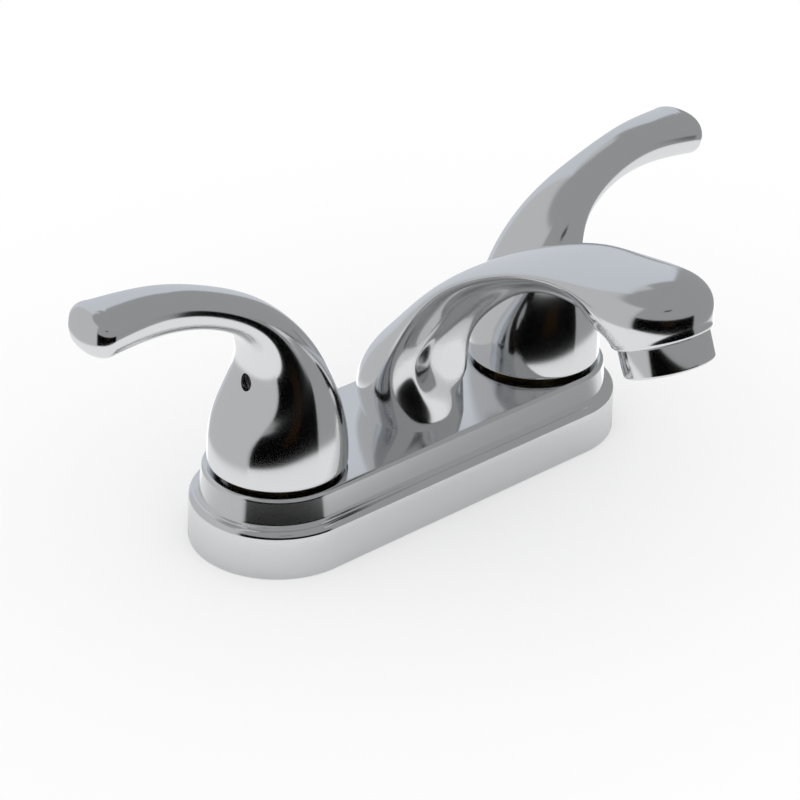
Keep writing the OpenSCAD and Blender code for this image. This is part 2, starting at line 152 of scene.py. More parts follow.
def natural_spline(at: np.ndarray, rows: np.ndarray, where: np.ndarray) -> np.ndarray:
    """Smooth curve through the rows of a table.

    Args:
        at: place of each row along the curve.
        rows: one row of values for each place.
        where: places at which the curve is read.

    Returns:
        One row of values for each place in where.
    """
    n, h = len(at), np.diff(at)
    left, right = np.eye(n), np.zeros_like(rows)
    for i in range(1, n - 1):
        left[i, i - 1 : i + 2] = h[i - 1], 2 * (h[i - 1] + h[i]), h[i]
        right[i] = 6 * ((rows[i + 1] - rows[i]) / h[i] - (rows[i] - rows[i - 1]) / h[i - 1])
    bend = np.linalg.solve(left, right)
    k = np.clip(np.searchsorted(at, where, side="right") - 1, 0, n - 2)
    t, d, hk = (where - at[k])[:, None], (at[k + 1] - where)[:, None], h[k][:, None]
    curve = (bend[k] * d**3 + bend[k + 1] * t**3) / (6 * hk)
    return curve + (rows[k] / hk - bend[k] * hk / 6) * d + (rows[k + 1] / hk - bend[k + 1] * hk / 6) * t


def smooth_rows(rows: Sequence[Row], steps: int) -> np.ndarray:
    """Reads a section table at even steps along the line through its first two columns.

    Args:
        rows: the section table.
        steps: number of sections wanted.

    Returns:
        The sections, as an array with the table's columns.
    """
    table = np.array(rows, float)
    at = np.concatenate([[0], np.cumsum(np.hypot(*np.diff(table[:, :2], axis=0).T))])
    return natural_spline(at, table, np.linspace(0, at[-1], steps))


def turns(n: int, spread: Spread = Spread.EVEN) -> np.ndarray:
    """Angles of the points of a ring.

    Args:
        n: number of points.
        spread: where the points lie closer together.

    Returns:
        The angles in radians.
    """
    even = np.arange(n) * 2 * math.pi / n
    return even - spread.value * np.sin(2 * even)


def circle(r: float, z: float, angles: np.ndarray, y: float = 0.0) -> np.ndarray:
    """Ring of points at a height, round the Z axis moved by y."""
    return np.stack([r * np.cos(angles), y + r * np.sin(angles), np.full(len(angles), z)], 1)


def revolve(profile: Iterable[Sequence[float]], angles: np.ndarray) -> list[np.ndarray]:
    """Rings of a turned piece, one for each (radius, height) of its profile."""
    return [circle(r, z, angles) for r, z in profile]


def arc(cx: float, cz: float, r: float, start: float, end: float, steps: int) -> list[tuple[float, float]]:
    """Points of an arc in a profile, with its angles in degrees."""
    spans = np.radians(np.linspace(start, end, steps))
    return [(cx + r * math.cos(a), cz + r * math.sin(a)) for a in spans]


def move_mesh(mesh: bpy.types.Mesh, place: Matrix) -> None:
    """Moves a mesh and keeps its faces turned outwards."""
    mesh.transform(place)
    if place.determinant() < 0:
        mesh.flip_normals()


@dataclass
class Loft:
    """Skin over rings of equal point counts.

    Attributes:
        rings: the rings, in millimetres, in order.
        closed: joins the last ring to the first, otherwise both ends get a cap.
    """

    rings: list[np.ndarray]
    closed: bool = False

    def mesh(self, name: str) -> bpy.types.Mesh:
        """Builds the skin as a mesh in metres.

        Args:
            name: name of the mesh.

        Returns:
            The mesh, with its faces turned outwards.
        """
        n, m = len(self.rings[0]), len(self.rings)
        points = np.concatenate(self.rings)
        last = m if self.closed else m - 1
        faces: list[tuple[int, ...]] = []
        for i in range(last):
            a, b = i * n, ((i + 1) % m) * n
            faces += [(a + j, a + (j + 1) % n, b + (j + 1) % n, b + j) for j in range(n)]
        if not self.closed:
            points = np.concatenate([points, self.rings[0].mean(0)[None], self.rings[-1].mean(0)[None]])
            faces += [((j + 1) % n, j, m * n) for j in range(n)]
            faces += [((m - 1) * n + j, (m - 1) * n + (j + 1) % n, m * n + 1) for j in range(n)]
        mesh = bpy.data.meshes.new(name)
        mesh.from_pydata((points * MM).tolist(), [], faces)
        graph = bmesh.new()
        graph.from_mesh(mesh)
        bmesh.ops.remove_doubles(graph, verts=graph.verts, dist=1e-7)
        bmesh.ops.recalc_face_normals(graph, faces=graph.faces)
        graph.to_mesh(mesh)
        graph.free()
        return mesh


def bake(piece: bpy.types.Object) -> None:
    """Puts what the modifiers make into the piece's own mesh and removes them."""
    graph = bpy.context.evaluated_depsgraph_get()
    mesh = bpy.data.meshes.new_from_object(piece.evaluated_get(graph))
    piece.modifiers.clear()
    piece.data = mesh


def new_object(name: str, mesh: bpy.types.Mesh) -> bpy.types.Object:
    """Adds an object for a mesh to the scene."""
    piece = bpy.data.objects.new(name, mesh)
    bpy.context.scene.collection.objects.link(piece)
    return piece


def cut_away(piece: bpy.types.Object, cutters: Sequence[bpy.types.Mesh]) -> None:
    """Cuts closed meshes out of a piece."""
    helpers = []
    for cutter in cutters:
        helper = new_object(f"{piece.name}_cutter", cutter)
        cut = piece.modifiers.new("cut", "BOOLEAN")
        cut.operation, cut.solver, cut.object = "DIFFERENCE", "EXACT", helper
        helpers.append(helper)
    bake(piece)
    for helper in helpers:
        bpy.data.objects.remove(helper)


# Node graphs


@dataclass
class NodeGraph:
    """Adds nodes to a tree and links them."""

    tree: bpy.types.NodeTree

    def add(self, kind: str, inputs: Optional[dict] = None, **settings) -> bpy.types.Node:
        """Adds a node.

        Args:
            kind: Blender's name of the node type.
            inputs: values or output sockets, by the input's name or number.
            settings: the node's own properties.

        Returns:
            The new node.
        """
        node = self.tree.nodes.new(kind)
        for key, value in settings.items():
            setattr(node, key, value)
        for key, value in (inputs or {}).items():
            if isinstance(value, bpy.types.NodeSocket):
                self.tree.links.new(value, node.inputs[key])
            else:
                node.inputs[key].default_value = value
        return node

    def math(self, operation: str, a, b=0.0) -> bpy.types.NodeSocket:
        """Adds a Math node and returns its result."""
        kind = "ShaderNodeMath"
        return self.add(kind, {0: a, 1: b}, operation=operation).outputs[0]

    def ramp(self, value, low: float, high: float, to_low: float, to_high: float, smooth: bool = False):
        """Adds a Map Range node and returns its result."""
        style = "SMOOTHSTEP" if smooth else "LINEAR"
        inputs = {"Value": value, "From Min": low, "From Max": high, "To Min": to_low, "To Max": to_high}
        return self.add("ShaderNodeMapRange", inputs, interpolation_type=style).outputs["Result"]

    def mix(self, factor, a, b) -> bpy.types.NodeSocket:
        """Adds a colour Mix node and returns its result."""
        node = self.add("ShaderNodeMix", {"Factor": factor}, data_type="RGBA")
        for index, value in ((6, a), (7, b)):
            if isinstance(value, bpy.types.NodeSocket):
                self.tree.links.new(value, node.inputs[index])
            else:
                node.inputs[index].default_value = (*value, 1.0)
        return node.outputs[2]

    def mix_shader(self, factor, a: bpy.types.Node, b: bpy.types.Node) -> bpy.types.Node:
        """Adds a Mix Shader node over two shader nodes."""
        return self.add("ShaderNodeMixShader", {0: factor, 1: a.outputs[0], 2: b.outputs[0]})

    def weigh(self, a, share_a: float, b, share_b: float) -> bpy.types.NodeSocket:
        """Adds nodes for the sum of two values, each times its share."""
        return self.math("ADD", self.math("MULTIPLY", a, share_a), self.math("MULTIPLY", b, share_b))


# Finishes


@dataclass(frozen=True)
class Finish:
    """Base of the finishes.

    Attributes:
        name: name of the material.
        slot: the record's material slot; not used.
        low: darkest colour of the surface.
        high: lightest colour of the surface.
        rough: lowest and highest roughness.
        metallic: 1 for metal, 0 otherwise.
        grain: size of the surface's grain, in millimetres.
        relief: height of the grain, in millimetres.
    """

    name: str
    slot: str
    low: Colour
    high: Colour
    rough: tuple[float, float]
    metallic: float = 0.0
    grain: float = 1.0
    relief: float = 0.0

    def pattern(self, graph: NodeGraph, place) -> bpy.types.NodeSocket:
        """The grain, from 0 to 1, at a place on the object."""
        inputs = {"Vector": place, "Scale": 1 / (self.grain * MM), "Detail": 4.0, "Roughness": 0.55}
        return graph.add("ShaderNodeTexNoise", inputs).outputs["Fac"]

    def dress(self, graph: NodeGraph, shader: bpy.types.Node) -> None:
        """Sets what only this kind of finish has on its shader."""

    def material(self) -> bpy.types.Material:
        """Makes the node material, or returns the one made before."""
        made = bpy.data.materials.get(self.name)
        if made:
            return made
        made = bpy.data.materials.new(self.name)
        made.use_nodes = True
        made.node_tree.nodes.clear()
        graph = NodeGraph(made.node_tree)
        place = graph.add("ShaderNodeTexCoord").outputs["Object"]
        grain = self.pattern(graph, place)
        spread = graph.ramp(grain, 0.3, 0.7, 0.0, 1.0)
        shader = graph.add(
            "ShaderNodeBsdfPrincipled",
            {
                "Base Color": graph.mix(spread, self.low, self.high),
                "Roughness": graph.ramp(grain, 0.3, 0.7, *self.rough),
                "Metallic": self.metallic,
            },
        )
        if self.relief:
            inputs = {"Height": grain, "Distance": self.relief * MM, "Strength": 1.0}
            bump = graph.add("ShaderNodeBump", inputs)
            graph.tree.links.new(bump.outputs["Normal"], shader.inputs["Normal"])
        self.dress(graph, shader)
        graph.add("ShaderNodeOutputMaterial", {"Surface": shader.outputs["BSDF"]})
        return made


@dataclass(frozen=True)
class Turned(Finish):
    """Machined metal with fine tool marks across the Z axis.

    Attributes:
        pitch: distance between tool marks, in millimetres.
    """

    pitch: float = 0.5

    def pattern(self, graph: NodeGraph, place) -> bpy.types.NodeSocket:
        """Tool marks broken up by noise."""
        noise = super().pattern(graph, place)
        height = graph.add("ShaderNodeSeparateXYZ", {0: place}).outputs["Z"]
        marks = graph.math("SINE", graph.math("MULTIPLY", height, 2 * math.pi / (self.pitch * MM)))
        return graph.math("ADD", graph.math("MULTIPLY", noise, 0.8), graph.ramp(marks, -1.0, 1.0, 0.0, 0.2))


@dataclass(frozen=True)
class Moulded(Finish):
    """Moulded plastic or ceramic with a clear skin.

    Attributes:
        coat: weight of the clear skin.
    """

    coat: float = 0.2

    def dress(self, graph: NodeGraph, shader: bpy.types.Node) -> None:
        """Adds the clear skin."""
        shader.inputs["Coat Weight"].default_value = self.coat
        shader.inputs["Coat Roughness"].default_value = 0.08


@dataclass(frozen=True)
class ShadedTopFinish(Finish):
    """Plating with painted shade on its flat top, which is drawn darker than its walls.

    Attributes:
        top_z: height of the flat top, in millimetres.
        painted_shade_share: share of the brightness that the flat top keeps under its painted shade.
    """

    top_z: float = 0.0
    painted_shade_share: float = 1.0

    def dress(self, graph: NodeGraph, shader: bpy.types.Node) -> None:
        """Paints shade on the flat top by lowering its colour."""
        place = graph.add("ShaderNodeTexCoord").outputs["Object"]
        height = graph.add("ShaderNodeSeparateXYZ", {0: place}).outputs["Z"]
        # Mask of the flat top, where the shade is painted.
        top = graph.ramp(height, (self.top_z - 0.25) * MM, (self.top_z - 0.05) * MM, 0.0, 1.0, smooth=True)
        plain = shader.inputs["Base Color"].links[0].from_socket
        inputs = {0: plain, "Scale": self.painted_shade_share}
        # Painted shade: the flat top's colour is the plain colour scaled down.
        painted_shade_colour = graph.add("ShaderNodeVectorMath", inputs, operation="SCALE").outputs[0]
        graph.tree.links.new(graph.mix(top, plain, painted_shade_colour), shader.inputs["Base Color"])


CHROME = dict(
    low=(0.575, 0.58, 0.585),
    high=(0.605, 0.61, 0.615),
    rough=(0.0, 0.01),
    metallic=1.0,
    grain=9.0,
    relief=0.002,
)
# The plate's flat top carries painted shade: it keeps 0.32 of the chrome's colour.
CHROME_PLATE = ShadedTopFinish("chrome_plate", "chrome_plate", **CHROME, top_z=S.plate_h, painted_shade_share=0.32)
CHROME_SPOUT = Finish("chrome_spout", "chrome_spout", **CHROME)
CHROME_LEVER = Finish("chrome_lever", "chrome_lever", **CHROME)
CHROME_RING = Finish("chrome_ring", "chrome_ring", **CHROME)
DARK_STEEL = Finish(
    "dark_steel", "dark_steel", (0.035, 0.014, 0.011), (0.11, 0.045, 0.034), (0.3, 0.5), 1.0, 0.6, 0.01
)
RAW_BRASS = Turned(
    "raw_brass", "raw_brass", (0.62, 0.42, 0.16), (0.8, 0.6, 0.29), (0.22, 0.4), 1.0, 2.0, 0.02
)
STEEL_SCREEN = Finish(
    "steel_screen", "steel_screen", (0.42, 0.42, 0.43), (0.6, 0.6, 0.61), (0.25, 0.4), 1.0, 0.5, 0.004
)
WHITE_PLASTIC = Moulded(
    "white_plastic", "white_plastic", (0.8, 0.8, 0.77), (0.86, 0.86, 0.84), (0.35, 0.5), 0.0, 0.8, 0.01
)
WHITE_CERAMIC = Moulded(
    "white_ceramic", "white_ceramic", (0.84, 0.83, 0.8), (0.88, 0.88, 0.86), (0.12, 0.22), 0.0, 0.4, 0.002
)
BLACK_RUBBER = Finish(
    "black_rubber", "black_rubber", (0.018, 0.018, 0.018), (0.035, 0.035, 0.034), (0.6, 0.8), 0.0, 0.5, 0.02
)

CAD_FINISHES: dict[str, Finish] = {
    "base_gasket": BLACK_RUBBER,
    "waterway_body": RAW_BRASS,
    "spout_spigot": RAW_BRASS,
    "spout_seal_ring": BLACK_RUBBER,
    "spout_locknut": RAW_BRASS,
    "aerator_washer": BLACK_RUBBER,
    "aerator_insert": WHITE_PLASTIC,
    "stem": RAW_BRASS,
    "stem_oring": BLACK_RUBBER,
    "turning_disc": WHITE_CERAMIC,
    "fixed_disc": WHITE_CERAMIC,
    "seat_seal": BLACK_RUBBER,
    "cartridge": RAW_BRASS,
    "bonnet_nut": RAW_BRASS,
    "mounting_nut": WHITE_PLASTIC,
}


# Pieces


@dataclass
class Piece:
    """A detailed piece that stands for CAD nodes.

    Attributes:
        name: name of the piece.
        body: CAD body that it rides on.
        nodes: CAD nodes that it replaces.
        finish: its finish.
        sharp: angle in degrees from which an edge is drawn sharp.
    """

    name: str
    body: str
    nodes: tuple[str, ...]
    finish: Finish
    sharp: float = 40.0

    def mesh(self) -> bpy.types.Mesh:
        """Builds the piece's mesh in place."""
        raise NotImplementedError

    def trim(self, piece: bpy.types.Object) -> None:
        """Cuts or adds what the mesh alone doesn't have."""

    def build(self) -> bpy.types.Object:
        """Makes the piece and ties it to the frame.

        Returns:
            The finished object.
        """
        piece = new_object(self.name, self.mesh())
        self.trim(piece)
        data = piece.data
        data.materials.clear()
        data.materials.append(self.finish.material())
        data.shade_smooth()
        data.set_sharp_from_angle(angle=math.radians(self.sharp))
        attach(piece, self.body)
        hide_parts(*self.nodes)
        LOG.info("%s: %d faces on %s", self.name, len(data.polygons), self.body)
        return piece


@dataclass
class CoverPlate(Piece):
    """Hollow two-step cover with round ends.

    Attributes:
        around: points of each half-round end and of each hole.
    """

    name: str = "cover_plate_shell"
    body: str = "root"
    nodes: tuple[str, ...] = ("deck_plate",)
    finish: Finish = CHROME_PLATE
    around: int = 96

    def outline(self, r: float, z: float) -> np.ndarray:
        """Stadium-shaped ring with end radius r at height z."""
        ends = np.radians(np.linspace(-90, 90, self.around))
        straight = np.linspace(S.half_c, -S.half_c, 24)[1:-1]
        right = np.stack([S.half_c + r * np.cos(ends), r * np.sin(ends)], 1)
        back = np.stack([straight, np.full(len(straight), r)], 1)
        half = np.concatenate([right, back])
        flat = np.concatenate([half, -half])
        return np.column_stack([flat, np.full(len(flat), z)])

    def mesh(self) -> bpy.types.Mesh:
        """Builds the shell from its outer and inner profiles."""
        lower_r, upper_r, top_r = S.plate_end_r - 0.3, S.plate_end_r - 3.2, S.plate_end_r - 4.0
        top, step, wall = S.plate_h, S.lower_step_h, S.plate_wall
        seam_r, flat_r = 0.6, 10
        top_round, foot_round, shoulder_round, base_round = 1.1, 0.9, 2.0, 0.35
        outer = [(seam_r, top), (flat_r, top)]
        outer += arc(top_r - top_round, top - top_round, top_round, 90, 0, 12)
        outer += arc(upper_r + foot_round, step + 1.3, foot_round, 180, 262, 8)
        outer += arc(lower_r - shoulder_round, step - shoulder_round, shoulder_round, 84, 0, 14)
        outer += arc(S.plate_end_r - base_round, base_round, base_round, 0, -90, 5)
        inner = [(S.plate_end_r - wall, 0), (lower_r - wall, step - wall)]
        inner += [(upper_r - wall, step - wall + 1), (top_r - wall, top - wall)]
        inner += [(flat_r, top - wall), (seam_r, top - wall)]
        return Loft([self.outline(r, z) for r, z in outer + inner]).mesh(self.name)

    def trim(self, piece: bpy.types.Object) -> None:
        """Cuts the valve holes and the spout's hole."""
        angles = turns(self.around)
        low, high = S.plate_h - 4.5, S.plate_h + 2.5
        cutters = []
        for r, x, y in ((S.neck_r, -S.half_c, 0), (S.neck_r, S.half_c, 0), (S.socket_r, 0, S.spout_y)):
            cutter = Loft(revolve([(r, low), (r, high)], angles)).mesh("hole")
            move_mesh(cutter, Matrix.Translation(Vector((x, y, 0)) * MM))
            cutters.append(cutter)
        cut_away(piece, cutters)


@dataclass
class SpoutCasting(Piece):
    """Arched spout: a hood over a keel, which end in a round collar.

    Attributes:
        around: points of each ring.
        along: rings along the arch.
        fillet: largest rounding between the hood and the keel, in millimetres.
    """

    name: str = "spout_casting"
    body: str = "root"
    nodes: tuple[str, ...] = ("spout",)
    finish: Finish = CHROME_SPOUT
    around: int = 176
    along: int = 190
    fillet: float = 3.0

    def ring(self, row: Row) -> np.ndarray:
        """Section of the spout for one row of its table."""
        angles = turns(self.around, Spread.TO_THE_EDGES)
        c, s = np.cos(angles), np.sin(angles)
        dist, height, lean, half_w, crown, rim, keel_w, keel_d = row

        def oval(w: float, h) -> np.ndarray:
            return 1 / np.sqrt((c / w) ** 2 + (s / h) ** 2)

        hood = oval(half_w, np.where(s >= 0, crown, rim))
        keel = oval(keel_w, keel_d)
        fillet = self.fillet * max(0.0, 1 - keel_w / half_w)
        under = (hood + keel + np.sqrt((hood - keel) ** 2 + fillet**2)) / 2
        r = np.where(s >= 0, hood, under)
        tilt = math.radians(lean)
        return np.stack([r * c, -dist + r * s * math.cos(tilt), height + r * s * math.sin(tilt)], 1)

    @staticmethod
    def collar(h: float, r: float) -> Row:
        """Row of a round section at a height above the outlet's seat."""
        tilt = math.radians(S.outlet_tilt)
        dist, height = S.outlet_reach - h * math.sin(tilt), S.outlet_h + h * math.cos(tilt)
        return (dist, height, 180 - S.outlet_tilt, r, r, r, r, r)

    def mesh(self) -> bpy.types.Mesh:
        """Builds the casting with its socket and its outlet."""
        lip_h, lip_r = 1.5, S.collar_r + 0.5
        rows = [*smooth_rows((*SPOUT_ROWS, self.collar(lip_h, lip_r)), self.along)]
        rows += [self.collar(lip_h - drop, lip_r - inset) for drop, inset in LIP_STEPS]
        bore_r, bore_h, seam_r = S.thread_r + 0.1, S.outlet_bore_h, 3
        rows += [self.collar(0, bore_r), self.collar(bore_h, bore_r), self.collar(bore_h, seam_r)]
        angles = turns(self.around, Spread.TO_THE_EDGES)
        hole_r, low, top = S.socket_r, S.plate_h, S.plate_h + S.socket_depth
        socket = [circle(r, z, angles, S.spout_y) for r, z in ((seam_r, top), (hole_r, top), (hole_r, low))]
        return Loft(socket + [self.ring(row) for row in rows]).mesh(self.name)


@dataclass
class AeratorRing(Piece):
    """Ring with rounded edges and a male thread, at the spout's outlet."""

    name: str = "aerator_ring"
    body: str = "root"
    nodes: tuple[str, ...] = ("aerator_housing",)
    finish: Finish = CHROME_RING

    def mesh(self) -> bpy.types.Mesh:
        """Turns the ring's profile and tilts it to the outlet."""
        r, low, ledge, top = S.ring_r, -S.ring_h, S.screen_step - S.ring_h, S.thread_top
        inner_round, outer_round, top_round = 0.5, 0.8, 0.3
        gap, neck_r = 0.15, S.ring_r - 0.9
        root_r, pitch = S.thread_r - 0.5, 0.9
        profile = arc(S.mouth_r + inner_round, low + inner_round, inner_round, 180, 270, 6)
        profile += arc(r - outer_round, low + outer_round, outer_round, -90, 0, 8)
        profile += arc(r - top_round, -gap - top_round, top_round, 0, 90, 5) + [(neck_r, -gap), (neck_r, 0)]
        for k in range(4):
            profile += [(root_r, 0.2 + k * pitch), (S.thread_r, 0.65 + k * pitch)]
        profile += [(root_r, top), (S.ring_bore_r, top), (S.ring_bore_r, ledge), (S.mouth_r, ledge)]
        mesh = Loft(revolve(profile, turns(160)), closed=True).mesh(self.name)
        move_mesh(mesh, outlet_place())
        return mesh


def outlet_place() -> Matrix:
    """Place of the outlet's seat, with its axis along the local Z."""
    shift = Matrix.Translation(Vector((0, -S.outlet_reach, S.outlet_h)) * MM)
    return shift @ Matrix.Rotation(math.radians(-S.outlet_tilt), 4, "X")


def valve_place(side: Side) -> Matrix:
    """Place of a handle that is drawn at the origin with its lever along -X."""
    shift = Matrix.Translation(Vector((side.value * S.half_c, 0, 0)) * MM)
    if side is Side.COLD:
        return shift @ Matrix.Scale(-1, 4, Vector((1, 0, 0)))
    return shift @ Matrix.Rotation(math.radians(-S.hot_turn), 4, "Z")


@dataclass
class SidePiece(Piece):
    """Piece at one valve, which takes its names from the side.

    Attributes:
        side: the valve.
        noun: end of the piece's name.
        part: end of the name of the CAD node that it replaces.
        turning: whether it rides on the lever's body or on the root.
    """

    name: str = ""
    body: str = "root"
    nodes: tuple[str, ...] = ()
    finish: Finish = CHROME_LEVER
    side: Side = Side.HOT
    noun: ClassVar[str]
    part: ClassVar[str]
    turning: ClassVar[bool] = True

    def __post_init__(self) -> None:
        """Takes the names from the side."""
        prefix = self.side.prefix
        self.name, self.nodes = f"{prefix}_{self.noun}", (f"{prefix}_{self.part}",)
        if self.turning:
            self.body = f"{prefix}_lever"


@dataclass
class LeverHandle(SidePiece):
    """Bell-shaped hub that sweeps up into a lever.

    Attributes:
        around: points of each ring.
        along: rings along the lever.
        squaring: how far the lever's sections go from oval to square.
        bluntness: power that rounds the lever's end, lower for a blunter end.
    """

    noun: ClassVar[str] = "lever_handle"
    part: ClassVar[str] = "handle"
    around: int = 144
    along: int = 150
    squaring: float = 0.16
    bluntness: float = 0.6

    def ring(self, row: Row) -> np.ndarray:
        """Section of the lever for one row of its table."""
        angles = turns(self.around)
        out, height, lean, depth, width, square = row
        power = 1 - self.squaring * min(1.0, max(0.0, square))
        c, s = np.cos(angles), np.sin(angles)
        u = np.sign(c) * np.abs(c) ** power * depth / 2
        v = np.sign(s) * np.abs(s) ** power * width / 2
        tilt = math.radians(lean)
        return np.stack([-out + u * math.cos(tilt), v, height + u * math.sin(tilt)], 1)

    def tip(self, rows: np.ndarray) -> list[np.ndarray]:
        """Rings of the rounded end, which start with the lever's own flare."""
        last, before = rows[-1], rows[-2]
        run = math.hypot(last[0] - before[0], last[1] - before[1])
        flare = (last[3:5] - before[3:5]) / run
        tilt, rings = math.radians(last[2]), []
        for a in np.radians(np.linspace(0, 87, 18)[1:]):
            d = S.lever_end * math.sin(a)
            size = (last[3:5] + flare * d * (1 - math.sin(a)) ** 2) * math.cos(a) ** self.bluntness
            out, height = last[0] + d * math.sin(tilt), last[1] + d * math.cos(tilt)
            rings.append(self.ring((out, height, last[2], *size, 1)))
        return rings

    def mesh(self) -> bpy.types.Mesh:
        """Builds the handle with the hollow under its hub."""
        angles, lip = turns(self.around), 0.7
        rows = smooth_rows(LEVER_ROWS, self.along)
        socket_r, hollow_r, top = S.stem_socket_r, S.hub_hollow_r, S.hollow_top_z
        inside = [(3, S.stem_socket_z), (socket_r, S.stem_socket_z), (socket_r, top), (S.hollow_top_r, top)]
        inside += [(hollow_r, S.hollow_cone_z), (hollow_r, S.hub_z + 0.4), (hollow_r + 0.3, S.hub_z)]
        rim = arc(S.hub_r - lip, S.hub_z + lip, lip, -90, -12, 7)
        outside = [self.ring(row) for row in rows if row[1] > S.hub_z + lip]
        mesh = Loft(revolve(inside + rim, angles) + outside + self.tip(rows)).mesh(self.name)
        move_mesh(mesh, valve_place(self.side))
        return mesh

    def trim(self, piece: bpy.types.Object) -> None:
        """Cuts the set screw's hole."""
        place = valve_place(self.side) @ screw_place()
        hole_r = S.screw_r + 0.1
        hole = Loft(revolve([(hole_r, 0.2), (hole_r, 14)], turns(48))).mesh("hole")
        move_mesh(hole, place)
        cut_away(piece, [hole])


def screw_place() -> Matrix:
    """Place of a set screw in its handle, with its open end along the local Z."""
    shift = Matrix.Translation(Vector((S.screw_x, 0, S.screw_z)) * MM)
    return shift @ Matrix.Rotation(math.radians(-90), 4, "Y")


@dataclass
class SetScrew(SidePiece):
    """Grub screw with a hexagon socket."""

    noun: ClassVar[str] = "grub_screw"
    part: ClassVar[str] = "set_screw"
    finish: Finish = DARK_STEEL

    def mesh(self) -> bpy.types.Mesh:
        """Builds the screw with its thread and socket."""
        angles = turns(72)
        sixth = math.pi / 3
        flat = S.screw_hex / np.cos((angles + sixth / 2) % sixth - sixth / 2)
        r, end, pitch = S.screw_r, S.screw_l, 0.5
        profile = [(0.4, 0), (r - 0.5, 0)]
        for k in range(7):
            profile += [(r - 0.28, 0.35 + pitch * k), (r, 0.6 + pitch * k)]
        profile += [(r - 0.1, end - 0.2), (r - 0.4, end)]
        hexagon = np.stack([flat * np.cos(angles), flat * np.sin(angles)], 1)
        steps = ((1.12, end), (1, end - 0.2), (1, end - 2))
        socket = [np.column_stack([hexagon * f, np.full(len(angles), z)]) for f, z in steps]
        floor = [circle(0.2, end - 2.4, angles)]
        mesh = Loft(revolve(profile, angles) + socket + floor).mesh(self.name)
        move_mesh(mesh, valve_place(self.side) @ screw_place())
        return mesh


def run_group(piece: bpy.types.Object, group: bpy.types.NodeTree, values: dict[str, float]) -> None:
    """Runs a geometry node group on a piece and keeps its result as a plain mesh.

    Args:
        piece: object whose mesh goes into the group.
        group: the geometry node group.
        values: value of each named input.
    """
    modifier = piece.modifiers.new(group.name, "NODES")
    modifier.node_group = group
    for item in group.interface.items_tree:
        if item.item_type == "SOCKET" and item.in_out == "INPUT" and item.name in values:
            modifier[item.identifier] = values[item.name]
    bake(piece)


def new_group(name: str, inputs: Sequence[str]) -> tuple[NodeGraph, bpy.types.Node]:
    """Starts a geometry node group with float inputs.

    Args:
        name: name of the group.
        inputs: names of its inputs, after the geometry.

    Returns:
        The graph and its input node.
    """
    group = bpy.data.node_groups.new(name, "GeometryNodeTree")
    group.interface.new_socket("Geometry", in_out="INPUT", socket_type="NodeSocketGeometry")
    for label in inputs:
        group.interface.new_socket(label, in_out="INPUT", socket_type="NodeSocketFloat")
    group.interface.new_socket("Geometry", in_out="OUTPUT", socket_type="NodeSocketGeometry")
    graph = NodeGraph(group)
    return graph, graph.add("NodeGroupInput")


def end_group(graph: NodeGraph, given: bpy.types.Node, added, rise, finish: Finish) -> bpy.types.NodeTree:
    """Ends a geometry node group: what it made is lifted, joined to the incoming mesh and painted.

    Args:
        graph: graph of the group.
        given: its input node.
        added: the geometry that it made.
        rise: height by which that is lifted.
        finish: finish of the whole.

    Returns:
        The finished group.
    """
    shift = graph.add("ShaderNodeCombineXYZ", {"Z": rise})
    placed = graph.add("GeometryNodeTransform", {"Geometry": added, "Translation": shift.outputs[0]})
    joined = graph.add("GeometryNodeJoinGeometry")
    for part in (given.outputs["Geometry"], placed.outputs[0]):
        graph.tree.links.new(part, joined.inputs[0])
    inputs = {"Geometry": joined.outputs[0], "Material": finish.material()}
    done = graph.add("GeometryNodeSetMaterial", inputs)
    graph.add("NodeGroupOutput", {0: done.outputs[0]})
    return graph.tree


@dataclass
class InletShank(SidePiece):
    """Inlet tube with a helical thread over its whole length.

    Attributes:
        pitch: distance between the thread's turns, in millimetres.
        depth: depth of the thread, in millimetres.
    """

    noun: ClassVar[str] = "threaded_shank"
    part: ClassVar[str] = "shank"
    turning: ClassVar[bool] = False
    finish: Finish = RAW_BRASS
    pitch: float = 1.81
    depth: float = 0.75

    def mesh(self) -> bpy.types.Mesh:
        """Builds the plain tube inside the thread."""
        core, low, high = S.shank_r - self.depth, -S.shank_drop, S.shank_top
        profile = [(S.shank_bore_r, low), (core - 0.5, low), (core, low + 0.5), (core, high - 0.5)]
        profile += [(core - 0.5, high), (S.shank_bore_r, high)]
        return Loft(revolve(profile, turns(64)), closed=True).mesh(self.name)

    @staticmethod
    def group() -> bpy.types.NodeTree:
        """Node group that winds a thread round the incoming tube."""
        made = bpy.data.node_groups.get("helical_thread")
        if made:
            return made
        graph, given = new_group("helical_thread", ("Radius", "Depth", "Pitch", "Start", "Length"))
        rounds = graph.math("DIVIDE", given.outputs["Length"], given.outputs["Pitch"])
        ridge = graph.math("MULTIPLY", given.outputs["Depth"], 0.8)
        path_r = graph.math("SUBTRACT", given.outputs["Radius"], ridge)
        spiral = graph.add(
            "GeometryNodeCurveSpiral",
            {
                "Resolution": 40, "Rotations": rounds, "Start Radius": path_r, "End Radius": path_r,
                "Height": given.outputs["Length"],
            },
        )
        profile = graph.add("GeometryNodeCurvePrimitiveCircle", {"Resolution": 6, "Radius": ridge})
        wound = graph.add(
            "GeometryNodeCurveToMesh",
            {"Curve": spiral.outputs[0], "Profile Curve": profile.outputs[0], "Fill Caps": True},
        )
        return end_group(graph, given, wound.outputs[0], given.outputs["Start"], RAW_BRASS)

    def trim(self, piece: bpy.types.Object) -> None:
        """Adds the thread and moves the shank to its valve."""
        length = S.shank_drop + S.shank_top - 2 * self.depth
        values = {
            "Radius": S.shank_r * MM, "Depth": self.depth * MM, "Pitch": self.pitch * MM,
            "Start": (self.depth - S.shank_drop) * MM, "Length": length * MM,
        }
        run_group(piece, self.group(), values)
        move_mesh(piece.data, Matrix.Translation(Vector((self.side.value * S.half_c, 0, 0)) * MM))


